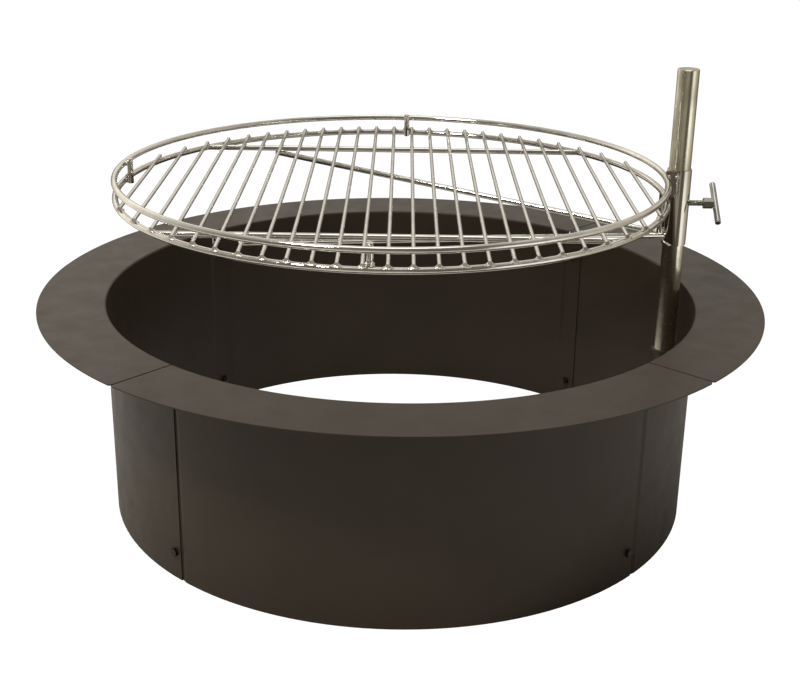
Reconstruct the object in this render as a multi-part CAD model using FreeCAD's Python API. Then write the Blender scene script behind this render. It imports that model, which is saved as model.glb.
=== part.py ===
"""Round steel fire pit with a swivelling, height-adjustable cooking grate.

Millimetres. +Z is up. The origin is on the axis of the fire ring at ground level.
+X points to the post that carries the grate.
The fire ring is four rolled sheet panels, lapped and bolted end to end.
The post is a tube that turns on a round stake. The grate hangs from a collar that
slides on the post and is locked by a screw with a tee handle.
"""
import FreeCAD
import Part
import math
import os

V = FreeCAD.Vector

# ---------------------------------------------------------------- fire ring
flange_diameter = 965.0
ring_bore_diameter = 788.0
wall_height = 288.0
sheet = 1.6
bend_radius = 3.0
flange_corner_radius = 4.0
panel_count = 4
seam_turn_deg = 3.0
seam_gap = 2.0
lap_length = 24.5
joggle_length = 6.0
tab_below_rim = 20.0

# ---------------------------------------------------------------- seam fasteners
bolt_diameter = 6.0
bolt_hole_clearance = 0.3
bolt_edge_distance = 10.0
bolt_from_rim = 37.0
bolt_head_width = 10.0
bolt_head_height = 4.0
washer_diameter = 12.0
washer_thickness = 1.2
nut_height = 5.0
bolt_overhang = 2.0
flange_radius = flange_diameter / 2
bore_radius = ring_bore_diameter / 2
wall_outer_radius = bore_radius + sheet
tab_inner_radius = bore_radius - sheet

# ---------------------------------------------------------------- post and stake
pipe_diameter = 28.6
pipe_wall = 1.5
pipe_length = 382.0
pipe_foot_below_rim = 82.0
stake_running_clearance = 0.1
stake_engagement = 150.0
stake_chamfer = 2.0
stop_diameter = 33.0
stop_thickness = 3.0
stop_gap = 0.3
cap_plug_depth = 12.0
cap_thickness = 2.0
cap_chamfer = 0.8
pipe_radius = pipe_diameter / 2
pipe_bore_radius = pipe_radius - pipe_wall
stake_radius = pipe_bore_radius - stake_running_clearance
pipe_foot_z = wall_height - pipe_foot_below_rim
pipe_top_z = pipe_foot_z + pipe_length

# ---------------------------------------------------------------- collar
collar_slide_clearance = 0.35
collar_wall = 1.5
collar_length = 102.0
collar_radius = pipe_radius + collar_slide_clearance + collar_wall
post_to_wall_clearance = 12.0
post_x = bore_radius - collar_radius - post_to_wall_clearance

# ---------------------------------------------------------------- grate
grate_radius = 360.0
ring_rod_diameter = 8.0
grate_rod_diameter = 4.8
grate_rod_count = 25
rod_set_down = 0.3
grate_above_rim = 139.0
rail_spacing = 23.0
cross_bar_inset = 128.0
tie_turn_deg = 86.8
side_tie_turn_deg = 176.0
tie_above_rail = 2.0
lug_thickness = 4.0
lug_height = 34.0
cross_bar_offset = grate_radius - cross_bar_inset
ring_rod_radius = ring_rod_diameter / 2
grate_rod_radius = grate_rod_diameter / 2
lower_ring_z = wall_height + grate_above_rim
upper_rail_z = lower_ring_z + rail_spacing
grate_x = post_x - collar_radius - ring_rod_radius - grate_radius
grate_rod_pitch = 2 * grate_radius / (grate_rod_count + 1)
grate_rod_z = lower_ring_z + ring_rod_radius + grate_rod_radius - rod_set_down
collar_top_z = upper_rail_z + 9.0
collar_foot_z = collar_top_z - collar_length

# ---------------------------------------------------------------- support arms
arm_apex_above_collar_foot = 12.0
arm_start_offset = 5.0
arm_overhang = 10.0
arm_seat_fraction = 0.6
arm_apex_z = collar_foot_z + arm_apex_above_collar_foot
arm_seat_z = lower_ring_z - ring_rod_diameter

# ---------------------------------------------------------------- lock screw with tee handle
screw_diameter = 8.0
screw_running_clearance = 0.05
screw_below_ring = 14.0
screw_tip_gap = 0.2
screw_reach = 19.0
hub_width = 13.0
hub_length = 12.5
hub_socket_depth = 8.0
tee_bar_diameter = 8.0
tee_bar_length = 68.0
tee_bar_angle_deg = 36.0
tee_bar_set_down = 0.6
screw_radius = screw_diameter / 2
screw_z = lower_ring_z - screw_below_ring
hub_x = post_x + collar_radius + screw_reach


def rod(start, end, diameter):
    """Straight round rod from start to end."""
    axis = end - start
    return Part.makeCylinder(diameter / 2, axis.Length, start, axis)


def tube(outer_radius, inner_radius, x, y, z_low, z_high):
    """Upright round tube."""
    height = z_high - z_low
    outer = Part.makeCylinder(outer_radius, height, V(x, y, z_low))
    inner = Part.makeCylinder(inner_radius, height + 2, V(x, y, z_low - 1))
    return outer.cut(inner)


def bent_ring(radius, rod_diameter, x, z):
    """Level ring bent from round rod."""
    return Part.makeTorus(radius, rod_diameter / 2, V(x, 0, z), V(0, 0, 1))


def turned(shape, angle_deg):
    """Copy of a shape turned about the ring axis."""
    copy = shape.copy()
    copy.rotate(V(0, 0, 0), V(0, 0, 1), angle_deg)
    return copy


def arc_deg(length, radius):
    """Angle taken by a length measured along a circle."""
    return math.degrees(length / radius)


def polar(radius, angle_deg, z=0.0):
    """Point at a radius and an angle about the ring axis."""
    angle = math.radians(angle_deg)
    return V(radius * math.cos(angle), radius * math.sin(angle), z)


def arc_edge(radius, start_deg, end_deg):
    """Circular edge about the ring axis."""
    middle = (start_deg + end_deg) / 2
    return Part.Arc(polar(radius, start_deg), polar(radius, middle), polar(radius, end_deg)).toShape()


def hexagon_prism(width, start, axis, height):
    """Hexagonal prism with its first flat pair facing up and down."""
    corner_radius = width / math.sqrt(3)
    points = []
    for corner in range(7):
        angle = math.radians(60 * corner)
        points.append(V(corner_radius * math.cos(angle), corner_radius * math.sin(angle), 0))
    prism = Part.Face(Part.makePolygon(points)).extrude(V(0, 0, height))
    prism.Placement = FreeCAD.Placement(start, FreeCAD.Rotation(V(0, 0, 1), axis))
    return prism


# ---------------------------------------------------------------- fire ring panels
def wall_flange_profile(z_foot):
    """Upright wall bent out into the flat flange, as a face in the XZ plane."""
    rim = wall_height
    low = rim - sheet
    turn = rim - bend_radius
    inner_bend = bend_radius - sheet
    centre_x = bore_radius + bend_radius
    slant = math.sqrt(0.5)
    outer_mid = V(centre_x - bend_radius * slant, 0, turn + bend_radius * slant)
    inner_mid = V(centre_x - inner_bend * slant, 0, turn + inner_bend * slant)
    edges = [
        Part.makeLine(V(bore_radius, 0, z_foot), V(bore_radius, 0, turn)),
        Part.Arc(V(bore_radius, 0, turn), outer_mid, V(centre_x, 0, rim)).toShape(),
        Part.makeLine(V(centre_x, 0, rim), V(flange_radius, 0, rim)),
        Part.makeLine(V(flange_radius, 0, rim), V(flange_radius, 0, low)),
        Part.makeLine(V(flange_radius, 0, low), V(centre_x, 0, low)),
        Part.Arc(V(centre_x, 0, low), inner_mid, V(wall_outer_radius, 0, turn)).toShape(),
        Part.makeLine(V(wall_outer_radius, 0, turn), V(wall_outer_radius, 0, z_foot)),
        Part.makeLine(V(wall_outer_radius, 0, z_foot), V(bore_radius, 0, z_foot)),
    ]
    return Part.Face(Part.Wire(edges))


def swept_profile(z_foot, start_deg, end_deg):
    """Wall and flange profile rolled about the ring axis."""
    solid = wall_flange_profile(z_foot).revolve(V(0, 0, 0), V(0, 0, 1), end_deg - start_deg)
    return turned(solid, start_deg)


def lap_tab(start_deg, step_deg, shoulder_deg, height):
    """Wall end stepped inwards by one sheet so the next panel laps over it."""
    edges = [
        arc_edge(bore_radius, start_deg, step_deg),
        Part.makeLine(polar(bore_radius, step_deg), polar(wall_outer_radius, shoulder_deg)),
        Part.makeLine(polar(wall_outer_radius, shoulder_deg), polar(bore_radius, shoulder_deg)),
        Part.makeLine(polar(bore_radius, shoulder_deg), polar(tab_inner_radius, step_deg)),
        arc_edge(tab_inner_radius, step_deg, start_deg),
        Part.makeLine(polar(tab_inner_radius, start_deg), polar(bore_radius, start_deg)),
    ]
    return Part.Face(Part.Wire(edges)).extrude(V(0, 0, height))


def fastener_heights():
    """Heights of the two bolts in each seam."""
    return [bolt_from_rim, wall_height - bolt_from_rim]


def fastener_angle(seam_deg):
    """Angle of the bolts that join the two panels meeting at a seam."""
    half_gap = arc_deg(seam_gap / 2, wall_outer_radius)
    return seam_deg - half_gap - arc_deg(bolt_edge_distance, wall_outer_radius)


def round_flange_corners(panel, start_deg, end_deg):
    """Round the two outer corners of the flange in plan."""
    picked = []
    for edge in panel.Edges:
        ends = [vertex.Point for vertex in edge.Vertexes]
        if len(ends) != 2:
            continue
        upright = abs(ends[0].z - ends[1].z) > sheet * 0.9
        short = edge.Length < sheet * 1.1
        outside = math.hypot(ends[0].x, ends[0].y) > flange_radius - 0.01
        if upright and short and outside:
            picked.append(edge)
    return panel.makeFillet(flange_corner_radius, picked)


def ring_panel(seam_deg):
    """One quarter of the fire ring, from its lap tab to its plain end."""
    span_deg = 360.0 / panel_count
    half_gap = arc_deg(seam_gap / 2, wall_outer_radius)
    first = half_gap
    last = span_deg - half_gap
    shoulder = first + arc_deg(joggle_length, bore_radius)
    tab_end = -half_gap - arc_deg(lap_length, bore_radius)
    tab_top = wall_height - tab_below_rim
    main = swept_profile(0.0, shoulder, last)
    head = swept_profile(tab_top, first, shoulder)
    tab = lap_tab(tab_end, first, shoulder, tab_top)
    panel = main.fuse([head, tab]).removeSplitter()
    hole_radius = bolt_diameter / 2 + bolt_hole_clearance
    for seam in (0.0, span_deg):
        for height in fastener_heights():
            angle = fastener_angle(seam)
            start = polar(tab_inner_radius - 5, angle, height)
            hole = Part.makeCylinder(hole_radius, 5 * sheet + 10, start, polar(1, angle))
            panel = panel.cut(hole)
    panel = round_flange_corners(panel, first, last)
    return turned(panel, seam_deg)


def seam_angles():
    """Angles of the seams about the ring axis."""
    span_deg = 360.0 / panel_count
    return [seam_turn_deg + span_deg / 2 + span_deg * index for index in range(panel_count)]


def washer_face_radius():
    """Radius at which a flat washer clears the hollow side of the tab."""
    return math.sqrt(tab_inner_radius ** 2 - (washer_diameter / 2) ** 2)


def seam_bolt(angle, height):
    """Hexagon bolt put in from outside the ring."""
    inward = polar(-1, angle)
    head_start = polar(wall_outer_radius + bolt_head_height, angle, height)
    head = hexagon_prism(bolt_head_width, head_start, inward, bolt_head_height)
    tip_radius = washer_face_radius() - washer_thickness - nut_height - bolt_overhang
    shank = Part.makeCylinder(
        bolt_diameter / 2,
        wall_outer_radius - tip_radius,
        polar(wall_outer_radius, angle, height),
        inward,
    )
    return head.fuse(shank).removeSplitter()


def seam_washer(angle, height):
    """Flat washer against the inside of the lap."""
    start = polar(washer_face_radius(), angle, height)
    disc = Part.makeCylinder(washer_diameter / 2, washer_thickness, start, polar(-1, angle))
    hole = Part.makeCylinder(bolt_diameter / 2, washer_thickness, start, polar(-1, angle))
    return disc.cut(hole)


def seam_nut(angle, height):
    """Hexagon nut on the inside of the lap."""
    start = polar(washer_face_radius() - washer_thickness, angle, height)
    body = hexagon_prism(bolt_head_width, start, polar(-1, angle), nut_height)
    hole = Part.makeCylinder(bolt_diameter / 2, nut_height, start, polar(-1, angle))
    return body.cut(hole)


def on_every_seam(make_one):
    """The same fastener at every bolt position of the ring."""
    pieces = []
    for seam in seam_angles():
        for height in fastener_heights():
            pieces.append(make_one(fastener_angle(seam), height))
    return Part.makeCompound(pieces)


# ---------------------------------------------------------------- post
def ground_stake():
    """Round stake that stands at the ring wall and enters the post from below."""
    height = pipe_foot_z + stake_engagement
    stake = Part.makeCylinder(stake_radius, height, V(post_x, 0, 0))
    rim = []
    for edge in stake.Edges:
        if edge.BoundBox.ZMin > height - 0.01:
            rim.append(edge)
    return stake.makeChamfer(stake_chamfer, rim)


def stake_stop():
    """Washer fixed on the stake that carries the foot of the post."""
    top = pipe_foot_z - stop_gap
    return tube(stop_diameter / 2, stake_radius, post_x, 0, top - stop_thickness, top)


def post_pipe():
    """Plated tube of the post."""
    return tube(pipe_radius, pipe_bore_radius, post_x, 0, pipe_foot_z, pipe_top_z)


def post_cap():
    """Cap that closes the top of the post."""
    plug_start = V(post_x, 0, pipe_top_z - cap_plug_depth)
    plug = Part.makeCylinder(pipe_bore_radius, cap_plug_depth, plug_start)
    disc = Part.makeCylinder(pipe_radius, cap_thickness, V(post_x, 0, pipe_top_z))
    cap = plug.fuse(disc).removeSplitter()
    rim = []
    for edge in cap.Edges:
        if edge.BoundBox.ZMin > pipe_top_z + cap_thickness - 0.01:
            rim.append(edge)
    return cap.makeChamfer(cap_chamfer, rim)


def collar_solid():
    """Filled outline of the collar, used to cope the pieces welded to it."""
    return Part.makeCylinder(collar_radius, collar_length, V(post_x, 0, collar_foot_z))


def collar_sleeve():
    """Sleeve that slides and turns on the post, tapped for the lock screw."""
    bore = pipe_radius + collar_slide_clearance
    sleeve = tube(collar_radius, bore, post_x, 0, collar_foot_z, collar_top_z)
    hole_radius = screw_radius + screw_running_clearance
    hole = Part.makeCylinder(hole_radius, 2 * collar_radius, V(post_x, 0, screw_z), V(1, 0, 0))
    return sleeve.cut(hole)


# ---------------------------------------------------------------- grate
def lower_ring():
    """Ring that carries the grate rods."""
    return bent_ring(grate_radius, ring_rod_diameter, grate_x, lower_ring_z)


def upper_rail():
    """Raised rail that keeps food on the grate."""
    return bent_ring(grate_radius, ring_rod_diameter, grate_x, upper_rail_z)


def half_bar_length():
    """Half the length of a cross bar, measured to the middle of the ring rod."""
    return math.sqrt(grate_radius ** 2 - cross_bar_offset ** 2)


def cross_bar(side):
    """Bar level with the lower ring, coped to fit inside it."""
    half = half_bar_length()
    start = V(grate_x - half, side * cross_bar_offset, lower_ring_z)
    end = V(grate_x + half, side * cross_bar_offset, lower_ring_z)
    bar = rod(start, end, ring_rod_diameter).cut(lower_ring())
    return max(bar.Solids, key=lambda solid: solid.Volume)


def grate_rod(index):
    """One straight rod of the cooking surface, seated on the ring and both bars."""
    offset = (index - (grate_rod_count + 1) / 2) * grate_rod_pitch
    outer = grate_radius + ring_rod_radius - 1.0
    half = math.sqrt(outer ** 2 - offset ** 2)
    start = V(grate_x + offset, -half, grate_rod_z)
    end = V(grate_x + offset, half, grate_rod_z)
    shape = rod(start, end, grate_rod_diameter)
    shape = shape.cut(lower_ring())
    for side in (-1, 1):
        shape = shape.cut(cross_bar(side))
    return max(shape.Solids, key=lambda solid: solid.Volume)


def rail_tie(angle_deg):
    """Short upright rod inside both rings that joins them."""
    reach = grate_radius - ring_rod_diameter
    angle = math.radians(angle_deg)
    x = grate_x + reach * math.cos(angle)
    y = reach * math.sin(angle)
    low = lower_ring_z - ring_rod_radius
    high = upper_rail_z + ring_rod_radius + tie_above_rail
    return rod(V(x, y, low), V(x, y, high), ring_rod_diameter)


def collar_lug():
    """Flat gusset between both rings and the front of the collar."""
    y_near = -(collar_radius - 0.2)
    low = collar_top_z - lug_height
    start = V(post_x - collar_radius - ring_rod_radius, y_near, low)
    width = collar_radius + ring_rod_radius
    plate = Part.makeBox(width, lug_thickness, lug_height, start)
    plate = plate.cut(collar_solid())
    plate = plate.cut(lower_ring())
    plate = plate.cut(upper_rail())
    return max(plate.Solids, key=lambda solid: solid.Volume)


# ---------------------------------------------------------------- support arms
def support_arm(side):
    """Sloping arm from the foot of the collar to the underside of a cross bar."""
    start = V(post_x - collar_radius + 2.0, side * arm_start_offset, arm_apex_z)
    seat_x = grate_x - arm_seat_fraction * half_bar_length()
    seat = V(seat_x, side * cross_bar_offset, arm_seat_z)
    run = seat - start
    end = seat + run * (arm_overhang / run.Length)
    arm = rod(start, end, ring_rod_diameter).cut(collar_solid())
    arm = arm.cut(cross_bar(side))
    return max(arm.Solids, key=lambda solid: solid.Volume)


def arm_strut():
    """Upright rod that hangs from the lower ring and holds the arms' meeting point."""
    x = post_x - collar_radius - ring_rod_radius
    strut = rod(V(x, 0, arm_apex_z), V(x, 0, lower_ring_z), ring_rod_diameter)
    strut = strut.cut(lower_ring())
    for side in (-1, 1):
        strut = strut.cut(support_arm(side))
    return max(strut.Solids, key=lambda solid: solid.Volume)


# ---------------------------------------------------------------- lock screw
def lock_screw():
    """Screw that presses on the post through the collar wall."""
    tip_x = post_x + pipe_radius + screw_tip_gap
    end_x = hub_x + hub_socket_depth - 0.5
    screw = rod(V(tip_x, 0, screw_z), V(end_x, 0, screw_z), screw_diameter)
    tip = []
    for edge in screw.Edges:
        if edge.BoundBox.XMax < tip_x + 0.01:
            tip.append(edge)
    return screw.makeChamfer(0.8, tip)


def tee_bar_ends():
    """End points of the handle bar."""
    x = hub_x + hub_length + tee_bar_diameter / 2 - tee_bar_set_down
    angle = math.radians(tee_bar_angle_deg)
    half = V(0, math.cos(angle), math.sin(angle)) * (tee_bar_length / 2)
    centre = V(x, 0, screw_z)
    return centre - half, centre + half


def tee_bar():
    """Round handle bar across the hub."""
    low, high = tee_bar_ends()
    bar = rod(low, high, tee_bar_diameter)
    ends = []
    for edge in bar.Edges:
        if edge.Curve.TypeId == "Part::GeomCircle":
            ends.append(edge)
    return bar.makeFillet(1.2, ends)


def tee_hub():
    """Hexagon hub between the screw and its handle bar."""
    hub = hexagon_prism(hub_width, V(hub_x, 0, screw_z), V(1, 0, 0), hub_length)
    socket_radius = screw_radius + screw_running_clearance
    socket = Part.makeCylinder(socket_radius, hub_socket_depth, V(hub_x, 0, screw_z), V(1, 0, 0))
    low, high = tee_bar_ends()
    return hub.cut(socket).cut(rod(low, high, tee_bar_diameter))


def build():
    """All pieces by node name."""
    pieces = {}
    for index, seam in enumerate(seam_angles()):
        pieces["ring_panel_%d" % (index + 1)] = ring_panel(seam)
    pieces["seam_bolts"] = on_every_seam(seam_bolt)
    pieces["seam_washers"] = on_every_seam(seam_washer)
    pieces["seam_nuts"] = on_every_seam(seam_nut)
    pieces["ground_stake"] = ground_stake()
    pieces["stake_stop"] = stake_stop()
    pieces["post_pipe"] = post_pipe()
    pieces["post_cap"] = post_cap()
    pieces["collar_sleeve"] = collar_sleeve()
    pieces["collar_lug"] = collar_lug()
    pieces["grate_lower_ring"] = lower_ring()
    pieces["grate_upper_rail"] = upper_rail()
    pieces["cross_bar_front"] = cross_bar(-1)
    pieces["cross_bar_rear"] = cross_bar(1)
    for index in range(1, grate_rod_count + 1):
        pieces["grate_rod_%02d" % index] = grate_rod(index)
    pieces["rail_tie_front"] = rail_tie(tie_turn_deg - 180)
    pieces["rail_tie_rear"] = rail_tie(tie_turn_deg)
    pieces["rail_tie_left"] = rail_tie(side_tie_turn_deg)
    pieces["support_arm_front"] = support_arm(-1)
    pieces["support_arm_rear"] = support_arm(1)
    pieces["arm_strut"] = arm_strut()
    pieces["lock_screw"] = lock_screw()
    pieces["tee_hub"] = tee_hub()
    pieces["tee_bar"] = tee_bar()
    return pieces


os.makedirs("parts", exist_ok=True)
for name, shape in build().items():
    shape.exportStep(os.path.join("parts", name + ".step"))
    box = shape.BoundBox
    print(
        "%-20s solids %2d volume %12.1f valid %s z %.1f..%.1f"
        % (name, len(shape.Solids), shape.Volume, shape.isValid(), box.ZMin, box.ZMax)
    )
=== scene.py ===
import bmesh
import bpy
import math
from mathutils import Matrix, Vector


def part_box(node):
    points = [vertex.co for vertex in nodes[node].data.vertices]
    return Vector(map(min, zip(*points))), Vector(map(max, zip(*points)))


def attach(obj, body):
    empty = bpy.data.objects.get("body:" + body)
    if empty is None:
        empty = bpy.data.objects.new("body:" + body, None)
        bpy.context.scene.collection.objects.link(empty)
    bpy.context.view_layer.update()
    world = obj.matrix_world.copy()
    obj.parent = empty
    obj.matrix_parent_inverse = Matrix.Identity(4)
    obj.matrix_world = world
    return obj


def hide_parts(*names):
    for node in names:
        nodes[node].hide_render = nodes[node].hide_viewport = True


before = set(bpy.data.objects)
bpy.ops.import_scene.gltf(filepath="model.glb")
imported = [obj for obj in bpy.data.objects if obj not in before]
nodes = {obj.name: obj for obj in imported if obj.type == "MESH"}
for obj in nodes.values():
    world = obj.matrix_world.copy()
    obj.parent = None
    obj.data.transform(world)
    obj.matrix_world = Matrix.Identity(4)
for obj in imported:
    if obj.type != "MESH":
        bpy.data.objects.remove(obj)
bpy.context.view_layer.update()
scene = bpy.context.scene

UP = Vector((0, 0, 1))
ALONG = Vector((1, 0, 0))
ACROSS = Vector((0, 1, 0))


# ------------------------------------------------------------------ sizes from the frame
def box_of(name):
    """Lower and upper corner of a CAD node."""
    low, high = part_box(name)
    return Vector(low), Vector(high)


ring_low, ring_high = box_of("grate_lower_ring")
rail_low, rail_high = box_of("grate_upper_rail")
collar_low, collar_high = box_of("collar_sleeve")
lug_low, lug_high = box_of("collar_lug")
strut_low = box_of("arm_strut")[0]
bar_low, bar_high = box_of("cross_bar_rear")
screw_low, screw_high = box_of("lock_screw")
hub_high = box_of("tee_hub")[1]

ring_rod_r = (ring_high.z - ring_low.z) / 2
ring_z = (ring_high.z + ring_low.z) / 2
rail_z = (rail_high.z + rail_low.z) / 2
grate_x = (ring_high.x + ring_low.x) / 2
grate_r = (ring_high.x - ring_low.x) / 2 - ring_rod_r
collar_r = (collar_high.x - collar_low.x) / 2
post_x = (collar_high.x + collar_low.x) / 2
bar_y = (bar_high.y + bar_low.y) / 2
screw_z = (screw_high.z + screw_low.z) / 2
screw_r = (screw_high.z - screw_low.z) / 2
rod_names = sorted(name for name in nodes if name.startswith("grate_rod_"))

# ------------------------------------------------------------------ lengths in metres, and counts
FASTENER_EDGE = 0.0004
COLLAR_EDGE = 0.0003
PLATE_EDGE = 0.0006

FLARE_ROWS = 6
FLARE_SIDES = 14
FLARE_FOOT = 0.0026
BAR_CLEARANCE = 0.012
BEAD_SIDES = 10
BEAD_PITCH = 0.0022
TIE_BEAD = 0.0030
BAR_BEAD = 0.0026
BAR_BEAD_OFFSET = 0.0085
BAR_BEAD_HALF = 0.0022
SIDE_GAP = 0.0004
SEAM_BEAD = 0.0017
RAIL_LUMP = 0.0036
RING_LUMP = 0.0034
LUMP_SHIFT = 0.001
RING_END_BEAD = 0.0022
STRUT_BEAD = 0.0021
FOOT_BEAD = 0.0014
FOOT_BEAD_STEPS = 8
FOOT_BEAD_STEP_DEG = 9
HANDLE_BEAD = 0.0018
HANDLE_BEAD_HALF = 0.0045
HANDLE_BEAD_OFFSET = 0.0040

THREAD_PITCH = 0.00125
THREAD_DEPTH = 0.00055
THREAD_CHAMFER = 0.0008
THREAD_SIDES = 28
THREAD_ROWS_PER_TURN = 8

FLOOR_RADIUS = 1.15
FLOOR_DROP = 0.0005
LIGHT_TARGET = (0, 0, 0.3)

# ------------------------------------------------------------------ light and camera settings
SEEN_WHITE = 1.05
STUDIO_STRENGTH = 1.25
LAMP_LEVEL = 1.4

CAMERA_PLACE = (0, -1.725, 0.864)
CAMERA_DOWN_DEG = 21.04
CAMERA_ROLL_DEG = 0.85
CAMERA_LENS = 59.85
CAMERA_SENSOR = 36.0


# ------------------------------------------------------------------ node helpers
def feed(tree, socket, value):
    """Give a socket a number, an RGB colour or a link."""
    if isinstance(value, (int, float)):
        socket.default_value = value
    elif isinstance(value, tuple):
        socket.default_value = (*value, 1.0)
    else:
        tree.links.new(value, socket)


class Graph:
    """Small helper for building a procedural material."""

    def __init__(self, name):
        self.mat = bpy.data.materials.new(name)
        self.mat.use_nodes = True
        self.tree = self.mat.node_tree
        self.shader = self.tree.nodes["Principled BSDF"]
        coord = self.tree.nodes.new("ShaderNodeTexCoord")
        self.position = coord.outputs["Object"]

    def add(self, kind, **settings):
        node = self.tree.nodes.new(kind)
        for key, value in settings.items():
            setattr(node, key, value)
        return node

    def link(self, a, b):
        self.tree.links.new(a, b)

    def scaled(self, x, y, z):
        node = self.add("ShaderNodeMapping")
        node.inputs["Scale"].default_value = (x, y, z)
        self.link(self.position, node.inputs["Vector"])
        return node.outputs["Vector"]

    def noise(self, scale, detail, rough, vector=None, distortion=0.0):
        node = self.add("ShaderNodeTexNoise")
        node.inputs["Scale"].default_value = scale
        node.inputs["Detail"].default_value = detail
        node.inputs["Roughness"].default_value = rough
        node.inputs["Distortion"].default_value = distortion
        self.link(vector or self.position, node.inputs["Vector"])
        return node.outputs["Fac"]

    def ramp(self, value, stops):
        node = self.add("ShaderNodeValToRGB")
        ramp = node.color_ramp
        while len(ramp.elements) < len(stops):
            ramp.elements.new(0.5)
        for element, (place, colour) in zip(ramp.elements, stops):
            element.position = place
            element.color = (*colour, 1.0)
        self.link(value, node.inputs["Fac"])
        return node.outputs["Color"]

    def span(self, value, low, high, out_low=0.0, out_high=1.0):
        node = self.add("ShaderNodeMapRange")
        node.inputs["From Min"].default_value = low
        node.inputs["From Max"].default_value = high
        node.inputs["To Min"].default_value = out_low
        node.inputs["To Max"].default_value = out_high
        self.link(value, node.inputs["Value"])
        return node.outputs["Result"]

    def math(self, operation, a, b):
        node = self.add("ShaderNodeMath", operation=operation)
        for socket, value in zip(node.inputs, (a, b)):
            feed(self.tree, socket, value)
        return node.outputs["Value"]

    def mix(self, factor, a, b):
        node = self.add("ShaderNodeMix", data_type="RGBA")
        for index, value in ((0, factor), (6, a), (7, b)):
            feed(self.tree, node.inputs[index], value)
        return node.outputs[2]

    def bump(self, height, strength, distance, normal=None):
        node = self.add("ShaderNodeBump")
        node.inputs["Strength"].default_value = strength
        node.inputs["Distance"].default_value = distance
        self.link(height, node.inputs["Height"])
        if normal is not None:
            self.link(normal, node.inputs["Normal"])
        return node.outputs["Normal"]

    def set(self, **values):
        for key, value in values.items():
            feed(self.tree, self.shader.inputs[key.replace("_", " ")], value)


# ------------------------------------------------------------------ materials
def powder_coat(name):
    """Dark brown satin powder coat with fine orange peel, dust and a few scuffs."""
    g = Graph(name)
    dark, light, dust = (0.040, 0.0288, 0.0200), (0.050, 0.0362, 0.0256), (0.12, 0.10, 0.085)
    cloud = g.noise(scale=6.0, detail=5.0, rough=0.6)
    tone = g.ramp(cloud, [(0.3, dark), (0.7, light)])
    speck = g.span(g.noise(scale=420.0, detail=2.0, rough=0.5), low=0.74, high=0.80)
    flat_streak = g.noise(scale=60.0, detail=3.0, rough=0.6, vector=g.scaled(1.0, 1.0, 9.0))
    scratch = g.span(flat_streak, low=0.735, high=0.76)
    wear = g.math("MULTIPLY", g.math("MAXIMUM", speck, scratch), 0.3)
    g.set(Base_Color=g.mix(wear, tone, dust))
    satin = g.noise(scale=30.0, detail=5.0, rough=0.6)
    g.set(Roughness=g.span(satin, 0.3, 0.7, out_low=0.36, out_high=0.46))
    peel = g.noise(scale=900.0, detail=2.0, rough=0.5)
    wave = g.noise(scale=9.0, detail=2.0, rough=0.5)
    fine = g.bump(peel, strength=0.10, distance=0.0004)
    g.set(Normal=g.bump(wave, strength=0.018, distance=0.004, normal=fine))
    g.set(Specular_IOR_Level=0.32)
    return g.mat


def plated(name, light, dark, rough_low, rough_high, mottle=36.0, bump=0.05):
    """Plated steel with faint mottling and rubbed patches."""
    g = Graph(name)
    patch = g.noise(scale=mottle, detail=6.0, rough=0.62, distortion=0.4)
    g.set(Base_Color=g.ramp(patch, [(0.32, dark), (0.62, light)]))
    g.set(Metallic=1.0)
    rubbed = g.noise(scale=mottle * 2.4, detail=5.0, rough=0.6)
    g.set(Roughness=g.span(rubbed, 0.3, 0.7, rough_low, rough_high))
    grain = g.noise(scale=1100.0, detail=3.0, rough=0.6)
    g.set(Normal=g.bump(grain, strength=bump, distance=0.0003))
    return g.mat


def drawn_tube(name, light, dark, rough_low, rough_high):
    """Plated tube with lengthwise drawing lines, faint blotches and small pits."""
    g = Graph(name)
    streak = g.noise(scale=150.0, detail=5.0, rough=0.6, vector=g.scaled(1.0, 1.0, 0.035))
    long_way = g.scaled(1.0, 1.0, 0.55)
    blotch = g.noise(scale=26.0, detail=5.0, rough=0.6, vector=long_way, distortion=0.5)
    g.set(Base_Color=g.ramp(blotch, [(0.30, dark), (0.66, light)]))
    pit = g.span(g.noise(scale=620.0, detail=2.0, rough=0.5), low=0.70, high=0.78)
    g.set(Metallic=1.0)
    rubbed = g.span(blotch, 0.3, 0.7, rough_high, rough_low)
    g.set(Roughness=g.math("ADD", rubbed, g.math("MULTIPLY", pit, 0.25)))
    lines = g.bump(streak, strength=0.10, distance=0.0004)
    g.set(Normal=g.bump(pit, strength=0.12, distance=-0.0003, normal=lines))
    return g.mat


def weld_metal(name, light, dark, rough):
    """Plated weld bead: lumpy, slightly dull, with darker crevices."""
    g = Graph(name)
    crevice = g.noise(scale=420.0, detail=5.0, rough=0.65)
    g.set(Base_Color=g.ramp(crevice, [(0.34, dark), (0.60, light)]))
    g.set(Metallic=1.0)
    dulled = g.noise(scale=700.0, detail=3.0, rough=0.6)
    g.set(Roughness=g.span(dulled, 0.3, 0.7, rough - 0.1, rough + 0.12))
    lump = g.noise(scale=650.0, detail=4.0, rough=0.6)
    g.set(Normal=g.bump(lump, strength=0.5, distance=0.0008))
    return g.mat


def dull_steel(name, light, dark, rough):
    """Bare or oxidised steel with streaks."""
    g = Graph(name)
    streak = g.noise(scale=25.0, detail=6.0, rough=0.65, vector=g.scaled(1.0, 1.0, 0.25))
    g.set(Base_Color=g.ramp(streak, [(0.3, dark), (0.7, light)]))
    g.set(Metallic=0.85)
    worn = g.noise(scale=80.0, detail=4.0, rough=0.6)
    g.set(Roughness=g.span(worn, 0.3, 0.7, rough - 0.1, rough + 0.1))
    grain = g.noise(scale=500.0, detail=3.0, rough=0.6)
    g.set(Normal=g.bump(grain, strength=0.15, distance=0.0004))
    return g.mat


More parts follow.
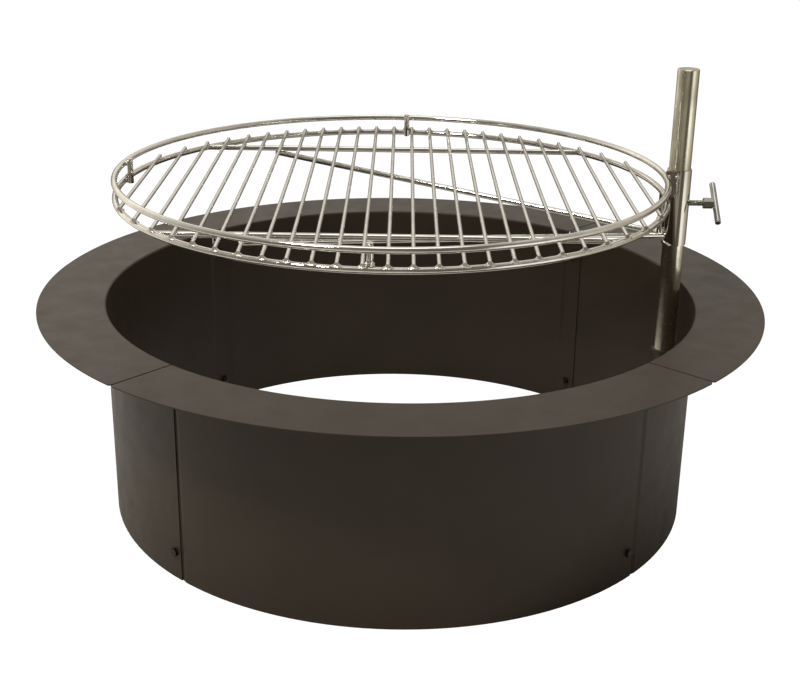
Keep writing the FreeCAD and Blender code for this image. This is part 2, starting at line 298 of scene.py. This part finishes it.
coat = powder_coat("dark_brown_powder_coat")
rod_chrome = plated("plated_rod_chrome", (0.86, 0.845, 0.80), (0.70, 0.685, 0.63), 0.06, 0.14)
thin_chrome = plated("plated_thin_rod", (0.86, 0.85, 0.815), (0.72, 0.71, 0.67), 0.12, 0.22)
tube_nickel = drawn_tube("plated_tube_nickel", (0.86, 0.83, 0.69), (0.47, 0.455, 0.34), 0.11, 0.30)
collar_nickel = drawn_tube("plated_collar_nickel", (0.74, 0.70, 0.63), (0.58, 0.55, 0.48), 0.07, 0.14)
screw_zinc = plated("zinc_screw", (0.50, 0.50, 0.46), (0.36, 0.36, 0.33), 0.14, 0.24, 40.0, 0.03)
black_bolt = dull_steel("black_fastener", (0.11, 0.10, 0.09), (0.03, 0.028, 0.026), 0.24)
stake_mat = dull_steel("stake_steel", (0.15, 0.14, 0.10), (0.07, 0.065, 0.045), 0.5)
weld_mat = weld_metal("plated_weld", (0.86, 0.84, 0.79), (0.42, 0.39, 0.34), 0.24)
tint_mat = weld_metal("heat_tinted_plate", (0.34, 0.29, 0.25), (0.16, 0.13, 0.11), 0.40)


def paint(node, material, bevel):
    """Give a carried-over CAD node one material and, where bevel isn't 0, broken edges."""
    mesh = nodes[node].data
    mesh.materials.clear()
    mesh.materials.append(material)
    if bevel:
        modifier = nodes[node].modifiers.new("broken_edges", "BEVEL")
        modifier.width = bevel
        modifier.segments = 2
        modifier.limit_method = "ANGLE"
        modifier.angle_limit = math.radians(50)


def node_look(name):
    """Material and edge break for one CAD node."""
    if name.startswith("ring_panel"):
        return coat, 0.0
    if name.startswith("seam_"):
        return black_bolt, FASTENER_EDGE
    if name in ("ground_stake", "stake_stop"):
        return stake_mat, 0.0
    if name in ("post_pipe", "post_cap"):
        return tube_nickel, 0.0
    if name == "collar_sleeve":
        return collar_nickel, COLLAR_EDGE
    if name == "collar_lug":
        return tint_mat, PLATE_EDGE
    if name in ("lock_screw", "tee_hub", "tee_bar"):
        return screw_zinc, PLATE_EDGE if name == "tee_hub" else 0.0
    if name.startswith("grate_rod"):
        return thin_chrome, 0.0
    return rod_chrome, 0.0


for name in nodes:
    paint(name, *node_look(name))


# ------------------------------------------------------------------ weld beads
class Pile:
    """Collects many small closed skins into one mesh object."""

    def __init__(self, name, material, body, slot):
        self.name = name
        self.material = material
        self.body = body
        self.slot = slot
        self.mesh = bmesh.new()

    def skin(self, loops):
        """Close a stack of equal vertex loops with quads and end fans."""
        rows = [[self.mesh.verts.new(point) for point in loop] for loop in loops]
        count = len(rows[0])
        for low, high in zip(rows, rows[1:]):
            for i in range(count):
                j = (i + 1) % count
                self.mesh.faces.new((low[i], low[j], high[j], high[i]))
        for row, flip in ((rows[0], True), (rows[-1], False)):
            hub = self.mesh.verts.new(sum((vert.co for vert in row), Vector()) / count)
            for i in range(count):
                pair = (row[(i + 1) % count], row[i]) if flip else (row[i], row[(i + 1) % count])
                self.mesh.faces.new((hub, *pair))

    def finish(self):
        """Turn the pile into an object with its body."""
        bmesh.ops.recalc_face_normals(self.mesh, faces=self.mesh.faces)
        data = bpy.data.meshes.new(self.name)
        self.mesh.to_mesh(data)
        self.mesh.free()
        data.shade_smooth()
        data.materials.append(self.material)
        piece = bpy.data.objects.new(self.name, data)
        scene.collection.objects.link(piece)
        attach(piece, self.body)
        return piece


def ripple(step, seed):
    """Gentle repeatable unevenness between about -1 and 1."""
    return 0.6 * math.sin(2.1 * step + seed) + 0.4 * math.sin(5.3 * step + 1.7 * seed)


def flare(pile, centre, along, across, reach, seed):
    """Weld fillet around a rod that crosses another: wide at its foot, drawn in at its top.

    along is the direction of the lower rod, across that of the upper one. reach is the
    foot's and top's height over the centre, then their half widths each way.
    """
    foot_z, top_z, foot_a, top_a, foot_b, top_b = reach
    loops = []
    for step in range(FLARE_ROWS):
        t = step / (FLARE_ROWS - 1)
        ease = (1 - t) ** 2
        half_a = top_a + (foot_a - top_a) * ease
        half_b = top_b + (foot_b - top_b) * ease
        loop = []
        for turn in range(FLARE_SIDES):
            angle = 2 * math.pi * turn / FLARE_SIDES
            swell = 1 + 0.07 * ripple(turn, seed + step)
            side = along * (half_a * math.cos(angle) * swell)
            end = across * (half_b * math.sin(angle) * swell)
            loop.append(centre + side + end + UP * (foot_z + (top_z - foot_z) * t))
        loops.append(loop)
    pile.skin(loops)


def bead(pile, points, radius, seed):
    """Rippled weld bead along a short line of points."""
    loops = []
    total = sum((b - a).length for a, b in zip(points, points[1:]))
    steps = max(8, int(total / BEAD_PITCH * 4))
    for step in range(steps + 1):
        place, heading = along_line(points, total * step / steps)
        side = heading.orthogonal().normalized()
        other = heading.cross(side)
        taper = math.sqrt(max(0.05, 1 - abs(2 * step / steps - 1) ** 6))
        wave = 1 + 0.14 * math.sin(2 * math.pi * step / 4) + 0.05 * ripple(step, seed)
        ring = radius * taper * wave
        loop = []
        for turn in range(BEAD_SIDES):
            angle = 2 * math.pi * turn / BEAD_SIDES
            loop.append(place + (side * math.cos(angle) + other * math.sin(angle)) * ring)
        loops.append(loop)
    pile.skin(loops)


def along_line(points, distance):
    """Point and heading at a distance along a line of points."""
    for a, b in zip(points, points[1:]):
        length = (b - a).length
        if distance <= length or b is points[-1]:
            return a.lerp(b, min(1.0, distance / length)), (b - a).normalized()
        distance -= length


def ring_point(radius, angle, z):
    """Point on a circle about the middle of the grate."""
    return Vector((grate_x + radius * math.cos(angle), radius * math.sin(angle), z))


def weld_rods_to_rings():
    """Fillets where the cooking rods cross the lower ring and both cross bars."""
    pile = Pile("rod_weld_fillets", weld_mat, "grate", "plated_rod")
    for index, name in enumerate(rod_names):
        low, high = box_of(name)
        x = (low.x + high.x) / 2
        rod_r = (high.x - low.x) / 2
        rod_z = (low.z + high.z) / 2
        lift = rod_z - ring_z
        offset = x - grate_x
        for side in (-1, 1):
            y = side * math.sqrt(grate_r ** 2 - offset ** 2)
            tangent = Vector((-y, offset, 0)).normalized()
            across = tangent.cross(UP)
            reach = (
                FLARE_FOOT, lift + 0.0006,
                rod_r + 0.0078, rod_r + 0.0002,
                rod_r + 0.0026, rod_r * 0.9,
            )
            flare(pile, Vector((x, y, ring_z)), tangent, across, reach, index + side)
            if abs(y) > bar_y + BAR_CLEARANCE:
                reach = (
                    FLARE_FOOT, lift,
                    rod_r + 0.0022, rod_r + 0.0001,
                    rod_r + 0.0006, rod_r * 0.8,
                )
                flare(pile, Vector((x, side * bar_y, ring_z)), ALONG, ACROSS, reach, index)
    pile.finish()


def weld_frame():
    """Beads at both ends of the ties and at the ends of the cross bars."""
    pile = Pile("frame_weld_beads", weld_mat, "grate", "plated_rod")
    for number, name in enumerate(("rail_tie_front", "rail_tie_rear", "rail_tie_left")):
        low, high = box_of(name)
        centre = (low + high) / 2
        radial = Vector((centre.x - grate_x, centre.y, 0)).normalized()
        tangent = UP.cross(radial)
        for z in (ring_z, rail_z):
            for side in (-1, 1):
                middle = centre + radial * ring_rod_r + tangent * (side * ring_rod_r * 0.72)
                reach = ring_rod_r * (2.2 if z == ring_z else 0.8)
                start = Vector((middle.x, middle.y, z - ring_rod_r * 0.8))
                end = Vector((middle.x, middle.y, z + reach))
                bead(pile, [start, end], TIE_BEAD, number + side)
    for y in (-bar_y, bar_y):
        for side in (-1, 1):
            angle = math.atan2(y, side * math.sqrt(grate_r ** 2 - y ** 2))
            inner = grate_r - ring_rod_r * 1.1
            swing = BAR_BEAD_OFFSET / grate_r
            for turn in (-1, 1):
                middle = ring_point(inner, angle + turn * swing, ring_z)
                ends = [middle - UP * BAR_BEAD_HALF, middle + UP * BAR_BEAD_HALF]
                bead(pile, ends, BAR_BEAD, side + turn)
    pile.finish()


def weld_collar():
    """Beads where the lug, rings, strut and arms meet the collar, and lumps at the lug's ends."""
    pile = Pile("collar_weld_beads", weld_mat, "grate", "plated_rod")
    x_side = post_x - collar_r - SIDE_GAP
    foot = Vector((post_x - collar_r * 0.32, lug_low.y + 0.0012, lug_low.z))
    head = Vector((foot.x, foot.y, lug_high.z))
    bead(pile, [foot, head], SEAM_BEAD, 1.0)
    half = Vector((0.003, 0, 0.0008))
    for z, size in ((rail_z + LUMP_SHIFT, RAIL_LUMP), (ring_z - LUMP_SHIFT, RING_LUMP)):
        outer = Vector((lug_low.x + 0.003, lug_low.y, z))
        seam = Vector((foot.x, foot.y, z))
        for base, share in ((outer, 1.0), (seam, 0.85)):
            bead(pile, [base - half, base + half], size * share, z)
    for z in (ring_z, rail_z):
        for side in (-1, 1):
            near = Vector((x_side - 0.0012, side * 0.0045, z - 0.0032))
            far = Vector((x_side - 0.0012, side * 0.0045, z + 0.0032))
            bead(pile, [near, far], RING_END_BEAD, side + z)
    for side in (-1, 1):
        start = Vector((x_side - 0.0005, side * 0.008, strut_low.z + 0.001))
        end = Vector((x_side - 0.0005, side * 0.004, strut_low.z + 0.011))
        bead(pile, [start, end], STRUT_BEAD, side)
    low = collar_low.z + 0.0014
    sweep = []
    for step in range(FOOT_BEAD_STEPS + 1):
        angle = math.radians(180 + FOOT_BEAD_STEP_DEG * step)
        height = low + 0.0085 * (1 - step / FOOT_BEAD_STEPS) ** 2
        x, y = post_x + collar_r * math.cos(angle), collar_r * math.sin(angle)
        sweep.append(Vector((x, y, height)))
    bead(pile, sweep, FOOT_BEAD, 3.0)
    pile.finish()


weld_rods_to_rings()
weld_frame()
weld_collar()


# ------------------------------------------------------------------ lock screw and handle
def threaded_screw():
    """Lock screw with a rolled thread and chamfered ends; it stands for the CAD's plain shank."""
    length = screw_high.x - screw_low.x
    rows = int(length / THREAD_PITCH * THREAD_ROWS_PER_TURN)
    pile = Pile("lock_screw_thread", screw_zinc, "screw", "zinc_screw")
    loops = []
    for row in range(rows + 1):
        x = screw_low.x + length * row / rows
        inset = min(row, rows - row) * length / rows
        loop = []
        for turn in range(THREAD_SIDES):
            angle = 2 * math.pi * turn / THREAD_SIDES
            phase = (x / THREAD_PITCH - turn / THREAD_SIDES) % 1.0
            radius = screw_r - THREAD_DEPTH * abs(2 * phase - 1) - max(0.0, THREAD_CHAMFER - inset)
            loop.append(Vector((x, radius * math.cos(angle), screw_z + radius * math.sin(angle))))
        loops.append(loop)
    pile.skin(loops)
    piece = pile.finish()
    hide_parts("lock_screw")


def handle_weld():
    """Two beads between the hub and its handle bar."""
    pile = Pile("handle_weld", weld_mat, "handle", "zinc_screw")
    centre = Vector((hub_high.x - 0.0012, 0, screw_z))
    low, high = box_of("tee_bar")
    span = high - low
    heading = Vector((0, span.y, span.z)).normalized()
    side = ALONG.cross(heading)
    for sign in (-1, 1):
        middle = centre + side * (sign * HANDLE_BEAD_OFFSET)
        ends = [middle - heading * HANDLE_BEAD_HALF, middle + heading * HANDLE_BEAD_HALF]
        bead(pile, ends, HANDLE_BEAD, sign)
    pile.finish()


threaded_screw()
handle_weld()


# ------------------------------------------------------------------ stage
def camera_split(tree, seen, other):
    """Mix of two shaders: one for what the camera sees, one for all other rays."""
    mix = tree.nodes.new("ShaderNodeMixShader")
    path = tree.nodes.new("ShaderNodeLightPath")
    tree.links.new(path.outputs["Is Camera Ray"], mix.inputs["Fac"])
    tree.links.new(other, mix.inputs[1])
    tree.links.new(seen, mix.inputs[2])
    return mix.outputs["Shader"]


def studio_floor():
    """Round pale floor, which the camera itself sees as plain white."""
    bpy.ops.mesh.primitive_circle_add(
        vertices=96, radius=FLOOR_RADIUS, fill_type="NGON", location=(0, 0, -FLOOR_DROP)
    )
    floor = bpy.context.object
    floor.name = "studio_floor"
    g = Graph("studio_floor_white")
    dark, light = (0.76, 0.75, 0.73), (0.78, 0.77, 0.75)
    cloud = g.noise(scale=2.0, detail=3.0, rough=0.5)
    g.set(Base_Color=g.ramp(cloud, [(0.3, dark), (0.7, light)]))
    g.set(Roughness=0.9)
    g.set(Specular_IOR_Level=0.1)
    glow = g.add("ShaderNodeEmission")
    glow.inputs["Strength"].default_value = SEEN_WHITE
    out = g.tree.nodes["Material Output"]
    shader = camera_split(g.tree, glow.outputs["Emission"], g.shader.outputs["BSDF"])
    g.link(shader, out.inputs["Surface"])
    floor.data.materials.append(g.mat)


class Studio:
    """World light made of soft bands and cards, placed by direction."""

    def __init__(self):
        world = bpy.data.worlds.new("studio")
        scene.world = world
        world.use_nodes = True
        self.tree = world.node_tree
        self.tree.nodes.clear()
        coord = self.tree.nodes.new("ShaderNodeTexCoord")
        parts = self.tree.nodes.new("ShaderNodeSeparateXYZ")
        self.tree.links.new(coord.outputs["Generated"], parts.inputs["Vector"])
        self.x, self.y, self.z = parts.outputs

    def math(self, operation, a, b):
        node = self.tree.nodes.new("ShaderNodeMath")
        node.operation = operation
        for socket, value in zip(node.inputs, (a, b)):
            feed(self.tree, socket, value)
        return node.outputs["Value"]

    def ramp(self, value, stops):
        node = self.tree.nodes.new("ShaderNodeValToRGB")
        ramp = node.color_ramp
        while len(ramp.elements) < len(stops):
            ramp.elements.new(0.5)
        for element, (place, level, tint) in zip(ramp.elements, stops):
            element.position = place
            element.color = (*(level * part for part in tint), 1.0)
        self.tree.links.new(value, node.inputs["Fac"])
        return node.outputs["Color"]

    def blend(self, factor, a, b):
        node = self.tree.nodes.new("ShaderNodeMix")
        node.data_type = "RGBA"
        for index, value in ((0, factor), (6, a), (7, b)):
            feed(self.tree, node.inputs[index], value)
        return node.outputs[2]

    def climb(self, start, end):
        """Share of the way from one height of the sky to another."""
        node = self.tree.nodes.new("ShaderNodeMapRange")
        node.inputs["From Min"].default_value = start
        node.inputs["From Max"].default_value = end
        self.tree.links.new(self.z, node.inputs["Value"])
        return node.outputs["Result"]

    def around(self, levels):
        """Light by bearing: 0 deg is the camera side, positive to its right."""
        bearing = self.math("ARCTAN2", self.x, self.math("MULTIPLY", self.y, -1.0))
        turn = self.math("ADD", self.math("DIVIDE", bearing, 2 * math.pi), 0.5)
        return self.ramp(turn, [(0.5 + deg / 360, level, tint) for deg, level, tint in levels])


WARM = (1.0, 0.94, 0.84)
OLIVE = (1.0, 0.90, 0.74)
GOLD = (1.0, 0.91, 0.79)
PLAIN = (1.0, 0.985, 0.96)


def studio_light():
    """Lamp overhead, light at the sides and high at the back, and a darker camera side.

    The levels are by bearing in degrees, in three bands from low to high.
    """
    studio = Studio()
    low = studio.around([
        (-180, 0.10, WARM), (-158, 0.16, GOLD), (-134, 0.84, GOLD), (-96, 0.40, WARM),
        (-60, 0.15, OLIVE), (-40, 0.13, OLIVE), (-24, 0.24, OLIVE), (4, 0.24, OLIVE),
        (12, 0.08, OLIVE), (36, 0.11, OLIVE), (44, 0.95, PLAIN), (64, 0.90, PLAIN),
        (80, 0.50, OLIVE), (112, 0.30, OLIVE), (128, 0.10, OLIVE), (180, 0.10, WARM),
    ])
    middle = studio.around([
        (-180, 0.64, WARM), (-155, 0.92, WARM), (-128, 0.78, WARM), (-80, 0.26, WARM),
        (-40, 0.12, OLIVE), (0, 0.10, OLIVE), (40, 0.12, OLIVE), (76, 0.32, GOLD),
        (120, 0.44, GOLD), (180, 0.64, WARM),
    ])
    high = studio.around([
        (-180, 0.50, PLAIN), (-90, 0.40, WARM), (-50, 0.14, OLIVE), (0, 0.12, OLIVE),
        (50, 0.14, OLIVE), (90, 0.34, WARM), (180, 0.50, PLAIN),
    ])
    lamp = studio.ramp(studio.z, [(0.0, LAMP_LEVEL, PLAIN), (1.0, LAMP_LEVEL, PLAIN)])
    sky = studio.blend(studio.climb(0.02, 0.26), low, middle)
    sky = studio.blend(studio.climb(0.50, 0.64), sky, high)
    sky = studio.blend(studio.climb(0.945, 0.96), sky, lamp)
    other = studio.tree.nodes.new("ShaderNodeBackground")
    other.inputs["Strength"].default_value = STUDIO_STRENGTH
    studio.tree.links.new(sky, other.inputs["Color"])
    seen = studio.tree.nodes.new("ShaderNodeBackground")
    seen.inputs["Color"].default_value = (1, 1, 1, 1)
    seen.inputs["Strength"].default_value = SEEN_WHITE
    out = studio.tree.nodes.new("ShaderNodeOutputWorld")
    shader = camera_split(studio.tree, seen.outputs["Background"], other.outputs["Background"])
    studio.tree.links.new(shader, out.inputs["Surface"])


def area_light(name, place, size, power, colour):
    """Softbox aimed at the middle of the object."""
    data = bpy.data.lights.new(name, "AREA")
    data.shape = "RECTANGLE"
    data.size, data.size_y = size
    data.energy = power
    data.color = colour
    light = bpy.data.objects.new(name, data)
    scene.collection.objects.link(light)
    light.location = place
    light.rotation_mode = "QUATERNION"
    light.rotation_quaternion = (Vector(LIGHT_TARGET) - Vector(place)).to_track_quat("-Z", "Y")


studio_floor()
studio_light()
area_light("key_front", (-1.0, -1.25, 2.25), (0.55, 0.40), 29, (1.0, 0.95, 0.86))

scene.view_settings.view_transform = "Standard"
scene.view_settings.look = "None"

# ------------------------------------------------------------------ camera
camera_data = bpy.data.cameras.new("camera")
camera_data.sensor_width = CAMERA_SENSOR
camera_data.lens = CAMERA_LENS
camera = bpy.data.objects.new("camera", camera_data)
scene.collection.objects.link(camera)
camera.matrix_world = (
    Matrix.Translation(CAMERA_PLACE)
    @ Matrix.Rotation(math.radians(90.0 - CAMERA_DOWN_DEG), 4, "X")
    @ Matrix.Rotation(math.radians(CAMERA_ROLL_DEG), 4, "Z")
)
scene.camera = camera
